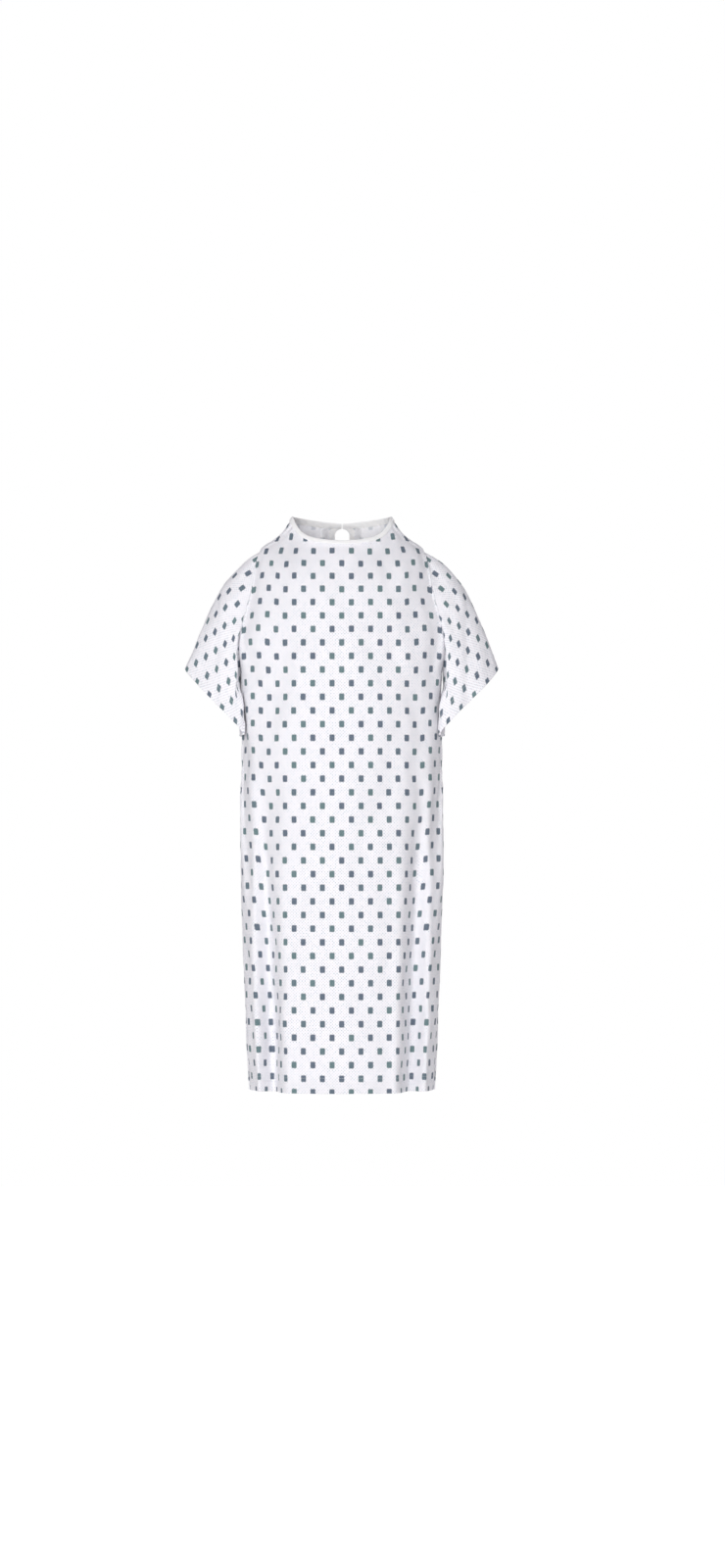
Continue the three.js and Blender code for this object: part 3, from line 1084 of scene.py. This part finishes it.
# the binding's section from its open edge on the outside, over the fold, to its open edge on the inside:
# distances from the fold and stand-offs, both as shares
bindingOutside = [
    (1.0, 0.55), (0.96, 0.8), (0.88, 0.78), (0.83, 0.66), (0.78, 0.86),
    (0.6, 1.0), (0.35, 1.0), (0.14, 0.86), (0.04, 0.52),
]
bindingInside = [(inwards, -off) for inwards, off in reversed(bindingOutside)]
bindingSection = [*bindingOutside, (0.0, 0.0), *bindingInside, (1.015, 0.0), bindingOutside[0]]
bindingFold = len(bindingOutside)
neckBinding = {"halfThick": 0.0014, "stations": 96, "backStations": 44, "endHalf": 0.0008, "pucker": 0.00016}
edgeBinding = {"halfThick": 0.0011, "archSteps": 22, "slotSteps": 190, "archFrom": 6.0, "pucker": 0.00014}
puckering = {"length": 0.009, "drift": 1.3, "driftLength": 0.04, "fullAt": 0.0012}


def puckered(offs, along, amount):  # the binding draws in a little at every few stitches
    drift = puckering["drift"] * np.sin(along / puckering["driftLength"])
    wave = np.sin(2 * math.pi * along / puckering["length"] + drift)
    return offs * (1 + amount / puckering["fullAt"] * wave)


def sectionUv(section, lengths):
    spread = np.cumsum([0] + [math.dist(a, b) for a, b in zip(section, section[1:])]) * gown["bindingWidth"]
    return np.stack(np.broadcast_arrays(spread[None, :], lengths[:, None]), -1)


def addNeckBinding():
    section = np.array(bindingSection)
    runs = section[None, :, 0] * gown["bindingWidth"]
    thick = section[None, :, 1] * neckBinding["halfThick"]
    turns = np.linspace(-90, 90, neckBinding["stations"] + 1)[:, None]
    along = lengthsAlong(onFront(np.zeros(len(turns)), turns[:, 0], 0))
    offs = puckered(thick, along[:, None], neckBinding["pucker"])
    flat = sectionUv(bindingSection, along)
    piece = tube("neckBindingFront", onFront(runs, turns, offs), flat, finishes["binding"])
    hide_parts("neck_binding_front")
    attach(piece, "gown")
    for hand, side in hands.items():
        share = np.linspace(0, 1, neckBinding["backStations"] + 1)[:, None]
        turn = between(90, turnAtHalf(0.0, neckBinding["endHalf"]), share)
        half = ringValues(runs)[..., 0] * np.sin(np.radians(turn))
        along = lengthsAlong(onBack(hand, 0, half[:, bindingFold], 0))
        offs = puckered(thick, along[:, None], neckBinding["pucker"])
        points = onBack(hand, runs, half, offs)
        flat = sectionUv(bindingSection, along)
        piece = tube("neckBindingBack" + hand.title(), mirrored(points, side), flat, finishes["binding"])
        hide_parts("neck_binding_side_" + hand, "neck_binding_back_" + hand)
        blendFlap(piece)


# down the back edge: round the keyhole first, then down the slot
def edgePath(margin):
    centre = gown["bindingWidth"] + backOpening["clearance"] + backOpening["keyhole"]
    angle = np.radians(np.linspace(edgeBinding["archFrom"], 90, edgeBinding["archSteps"] + 1))[:, None]
    radius = backOpening["keyhole"] + margin
    archRun, archHalf = centre - radius * np.cos(angle), radius * np.sin(angle)
    slotShare = np.linspace(0, 1, edgeBinding["slotSteps"] + 1)[1:, None]
    slotRun, margin = np.broadcast_arrays(centre + (hemRun - centre) * slotShare, margin)
    slotHalf = openingHalf(slotRun, margin)
    return np.vstack([archRun, slotRun]), np.vstack([archHalf, slotHalf])


def addEdgeBinding(hand, side):
    section = np.array(bindingSection)
    run, half = edgePath(section[None, :, 0] * gown["bindingWidth"])
    along = lengthsAlong(onBack(hand, run[:, bindingFold], half[:, bindingFold], 0))
    offs = puckered(section[None, :, 1] * edgeBinding["halfThick"], along[:, None], edgeBinding["pucker"])
    flat = sectionUv(bindingSection, along)
    name = "backEdgeBinding" + hand.title()
    piece = tube(name, mirrored(onBack(hand, run, half, offs), side), flat, finishes["binding"])
    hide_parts("back_edge_binding_" + hand)
    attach(piece, "flap_" + hand)


addNeckBinding()
for hand, side in hands.items():
    addEdgeBinding(hand, side)
print("neck and back edges bound")


# the tapes hang from where they are sewn on, turning a little, with a folded free end

tie = {
    "width": 0.012,
    "thick": 0.0011,
    "length": 0.300,
    "steps": 90,
    "neckInset": 0.028,
    "neckRun": 0.005,
    "waistInset": 0.019,
    "sewn": 0.022,
    "easesIn": 0.12,
    "foldedEnd": 0.010,
    "foldedMore": 0.8,
    "foldedStep": 0.002,
}
waves = {
    "sway": {"height": 0.0035, "length": 0.047},
    "turn": {"height": 0.0032, "length": 0.036},
    "drift": {"height": 0.0022, "length": 0.062},
}
patch = {"size": 0.026, "thick": 0.0012, "steps": 14, "above": 0.3, "edge": 0.55, "plump": 0.45}
patchSewn = {"depth": 0.0003, "at": 0.84, "width": 0.07}
stack = {"binding": 0.0012, "clearance": 0.0006}
tapeFace = [(0.03, 0.7), (0.12, 1.0), (0.3, 0.9), (0.5, 0.86), (0.7, 0.9), (0.88, 1.0), (0.97, 0.7)]
tapeBack = [(inwards, -off) for inwards, off in reversed(tapeFace)]
tapeSection = [(0.0, 0.0), *tapeFace, (1.0, 0.0), *tapeBack, (0.0, 0.0)]


def addTie(name, node, hand, side, inset, top, off, seed):
    draw = np.random.default_rng(seed)
    phases = draw.uniform(0, 2 * math.pi, len(waves))
    along = np.linspace(0, tie["length"], tie["steps"] + 1)
    loose = smoothstep(along, tie["sewn"], tie["sewn"] + tie["easesIn"])
    sines = [np.sin(along / wave["length"] + phase) for wave, phase in zip(waves.values(), phases)]
    sway = waves["sway"]["height"] * loose * (1 + sines[0]) / 2
    turn = waves["turn"]["height"] * loose * sines[1]
    drift = waves["drift"]["height"] * loose * sines[2]
    section = np.array(tapeSection)
    foldTop = tie["length"] - tie["foldedEnd"]
    folded = 1 + tie["foldedMore"] * smoothstep(along, foldTop, foldTop + tie["foldedStep"])
    width = inset + section[None, :, 0] * tie["width"] + drift[:, None]
    thick = section[None, :, 1] * (tie["thick"] / 2 * folded)[:, None]
    tilt = turn[:, None] * (section[None, :, 0] - 0.5) * 2
    lift = off + sway[:, None] + tilt + abs(turn)[:, None] + thick
    points = onBack(hand, (top + along)[:, None], width, lift)
    spread = np.cumsum([0] + [math.dist(a, b) for a, b in zip(tapeSection, tapeSection[1:])]) * tie["width"]
    flat = np.stack(np.broadcast_arrays(spread[None, :], along[:, None]), -1)
    piece = tube(name, mirrored(points, side), flat, finishes["tape"])
    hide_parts(node)
    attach(piece, node)


def addPatch(hand, side):
    size = patch["size"]
    grid = np.linspace(-1, 1, patch["steps"] + 1)
    y, x = np.meshgrid(grid, grid, indexing="ij")
    edge = np.maximum(np.abs(x), np.abs(y))
    puff = patch["thick"] / 2 * (patch["edge"] + patch["plump"] * np.clip(1 - edge ** 6, 0, 1))
    puff -= patchSewn["depth"] * np.exp(-(((edge - patchSewn["at"]) / patchSewn["width"]) ** 2))
    lift = stack["binding"] + stack["clearance"] + patch["thick"] / 2
    inset = tie["waistInset"] + tie["width"] / 2 + x * size / 2
    run = backOpening["waistRun"] - patch["above"] * size + (y + 1) * size / 2
    points = mirrored(onBack(hand, run, inset, lift + puff), side)
    flat = np.stack([x, y], -1) * size / 2
    piece = gridPiece("waistTiePatch" + hand.title(), points, flat)
    faceOut(piece, (0, 1, 0))
    bpy.ops.object.modifier_add(type="SOLIDIFY")
    solid = piece.modifiers[-1]
    solid.thickness = patch["thick"]
    solid.offset = -1
    bpy.ops.object.modifier_apply(modifier=solid.name)
    paint(piece, finishes["binding"])
    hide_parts("waist_tie_patch_" + hand)
    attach(piece, "flap_" + hand)


onBinding = stack["binding"] + tie["thick"] / 2 + 2 * stack["clearance"]
onPatch = stack["binding"] + patch["thick"] + 2 * stack["clearance"] + tie["thick"] / 2
for hand, side in hands.items():
    addPatch(hand, side)
    neckName, waistName = "neckTie" + hand.title(), "waistTie" + hand.title()
    addTie(neckName, "neck_tie_" + hand, hand, side, tie["neckInset"], tie["neckRun"], onBinding, 3 + side)
    waistRun = backOpening["waistRun"]
    addTie(waistName, "waist_tie_" + hand, hand, side, tie["waistInset"], waistRun, onPatch, 13 + side)
print("ties sewn on")


# stitching: one small thread loop, copied along each sewn line and turned to follow it

stitch = {"length": 0.0023, "width": 0.00045, "height": 0.0003, "step": 0.0031, "lift": 0.00015}


def stitchShape():
    bpy.ops.object.select_all(action="DESELECT")
    bpy.ops.mesh.primitive_uv_sphere_add(segments=6, ring_count=4, radius=0.5)
    one = bpy.context.object
    shape = np.array([v.co for v in one.data.vertices])[:, [2, 0, 1]]
    faces = [tuple(p.vertices) for p in one.data.polygons]
    bpy.data.objects.remove(one)
    return shape * np.array([stitch["length"], stitch["width"], stitch["height"]]), faces


oneStitch, oneStitchFaces = stitchShape()


def evenly(line, normal, spacing):  # places, directions and normals at even steps along a line of points
    lengths = lengthsAlong(line)

    def along(values, at):
        return np.stack([np.interp(at, lengths, values[:, k]) for k in range(3)], -1)

    at = np.arange(spacing * 0.6, lengths[-1] - spacing * 0.4, spacing)
    spots, out = along(line, at), along(normal, at)
    way = along(line, at + 0.001) - along(line, at - 0.001)
    way /= np.linalg.norm(way, axis=1, keepdims=True)
    out -= way * (out * way).sum(1, keepdims=True)
    out /= np.linalg.norm(out, axis=1, keepdims=True)
    return spots, way, out


def addStitches(name, lines):
    verts, faces = [], []
    for line, normal in lines:
        for spot, way, out in zip(*evenly(line, normal, stitch["step"])):
            start = len(verts)
            turned = oneStitch @ np.array([way, np.cross(out, way), out])
            verts.extend(spot + out * stitch["lift"] + turned)
            faces.extend(tuple(start + i for i in face) for face in oneStitchFaces)
    mesh = bpy.data.meshes.new(name)
    mesh.from_pydata([tuple(v) for v in verts], [], faces)
    mesh.uv_layers.new(name="flatCut")
    piece = bpy.data.objects.new(name, mesh)
    bpy.context.scene.collection.objects.link(piece)
    bpy.ops.object.select_all(action="DESELECT")
    bpy.context.view_layer.objects.active = piece
    piece.select_set(True)
    bpy.ops.object.shade_smooth()
    paint(piece, finishes["thread"])
    return piece


def hemLine(panel, side):  # along the hem's stitching, on the outside
    length = panel["flat"][..., 1].max(0)
    u = panel["across"]
    v = 1 - hem["stitchAbove"] / length
    points = lookUp(panel, "points", u, v)
    normals = lookUp(panel, "normals", u, v)
    return mirrored(points + normals * clothThick / 2, side), mirrored(normals, side)


# along a binding's stitching, outside and inside: place gives points for an offset from the cloth
def bindingLines(place, halfThick, side=1):
    lines = []
    for off in (bindingSewn["sunk"] * halfThick, -bindingSewn["sunk"] * halfThick):
        line = place(off)
        normal = line - place(0.0)
        normal /= np.linalg.norm(normal, axis=1, keepdims=True)
        lines.append((mirrored(line, side), mirrored(normal, side)))
    return lines


bindingSewn = {"level": 0.85, "sunk": 0.7, "frontTurns": (-89, 89, 160), "backTurns": (91, 178.6, 90)}


def stitchTrims():
    level = bindingSewn["level"] * gown["bindingWidth"]
    turns = np.linspace(*bindingSewn["frontTurns"])
    neckLines = bindingLines(lambda off: onFront(level, turns, off), neckBinding["halfThick"])
    piece = addStitches("stitchingFront", [hemLine(front, 1), *neckLines])
    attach(piece, "gown")
    for hand, side in hands.items():
        backTurns = np.linspace(*bindingSewn["backTurns"])
        neckHalf = ringValues(np.array(level))[..., 0] * np.sin(np.radians(backTurns))
        neckLines = bindingLines(
            lambda off: onBack(hand, level, neckHalf, off), neckBinding["halfThick"], side
        )
        piece = addStitches("stitchingBack" + hand.title(), [hemLine(backs[hand], side), *neckLines])
        blendFlap(piece)
        run, half = edgePath(np.array([[level]]))
        keep = run[:, 0] > gown["bindingWidth"] + 0.001
        run, half = run[keep, 0], half[keep, 0]
        edgeLines = bindingLines(
            lambda off: onBack(hand, run, half, off), edgeBinding["halfThick"], side
        )
        piece = addStitches("stitchingEdge" + hand.title(), edgeLines)
        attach(piece, "flap_" + hand)
        piece = addStitches("stitchingSleeve" + hand.title(), [hemLine(sleeves[hand], side)])
        blendSleeve(piece)


stitchTrims()
print("stitched")


# a white sweep far below and behind, and wide soft lamps

studio = {
    "floor": -1.55,
    "half": 7.0,
    "wall": 2.2,
    "floorColor": (0.97, 0.97, 0.97, 1),
    "floorGlow": 0.5,
    "room": (0.965, 0.94, 1.0, 1),
    "roomStrength": 0.32,
    "aim": (0, 0, -0.5),
}
lamps = [
    {"name": "softFront", "at": (-0.9, -5.5, 0.4), "size": 4.0, "power": 232, "color": (1.0, 0.995, 0.985)},
    {"name": "softBack", "at": (0.6, 4.5, 1.2), "size": 4.0, "power": 240, "color": (1.0, 0.995, 0.99)},
]


def addStudio():
    half = studio["half"]
    bpy.ops.object.select_all(action="DESELECT")
    bpy.ops.mesh.primitive_plane_add(size=2 * half, location=(0, studio["wall"] - half, studio["floor"]))
    floor = bpy.context.object
    floor.name = "floor"
    bpy.ops.object.transform_apply(location=True, rotation=True, scale=True)
    finish = bpy.data.materials.new("paleFloor")
    finish.use_nodes = True
    tree = finish.node_tree
    shader = tree.nodes["Principled BSDF"]
    shader.inputs["Base Color"].default_value = studio["floorColor"]
    shader.inputs["Roughness"].default_value = 0.9
    shader.inputs["Emission Color"].default_value = (1, 1, 1, 1)
    straight = tree.nodes.new("ShaderNodeLightPath")
    glare = sums(tree, "MULTIPLY", straight.outputs["Is Camera Ray"], studio["floorGlow"])
    tree.links.new(glare, shader.inputs["Emission Strength"])
    paint(floor, finish)
    world = bpy.data.worlds.new("paleRoom")
    bpy.context.scene.world = world
    world.use_nodes = True
    room = world.node_tree
    around = room.nodes["Background"]
    around.inputs["Color"].default_value = studio["room"]
    around.inputs["Strength"].default_value = studio["roomStrength"]
    seen = room.nodes.new("ShaderNodeBackground")  # the sweep behind is plain white to look at
    seen.inputs["Color"].default_value = (1, 1, 1, 1)
    path = room.nodes.new("ShaderNodeLightPath")
    choice = room.nodes.new("ShaderNodeMixShader")
    room.links.new(path.outputs["Is Camera Ray"], choice.inputs["Fac"])
    room.links.new(around.outputs["Background"], choice.inputs[1])
    room.links.new(seen.outputs["Background"], choice.inputs[2])
    room.links.new(choice.outputs["Shader"], room.nodes["World Output"].inputs["Surface"])
    for lamp in lamps:
        bpy.ops.object.light_add(type="AREA", location=lamp["at"])
        light = bpy.context.object
        light.name = lamp["name"]
        light.data.size = lamp["size"]
        light.data.energy = lamp["power"]
        light.data.color = lamp["color"]
        aim = Vector(studio["aim"]) - Vector(lamp["at"])
        light.rotation_euler = aim.to_track_quat("-Z", "Y").to_euler()
    bpy.context.scene.view_settings.view_transform = "Standard"


addStudio()
print("studio lit")
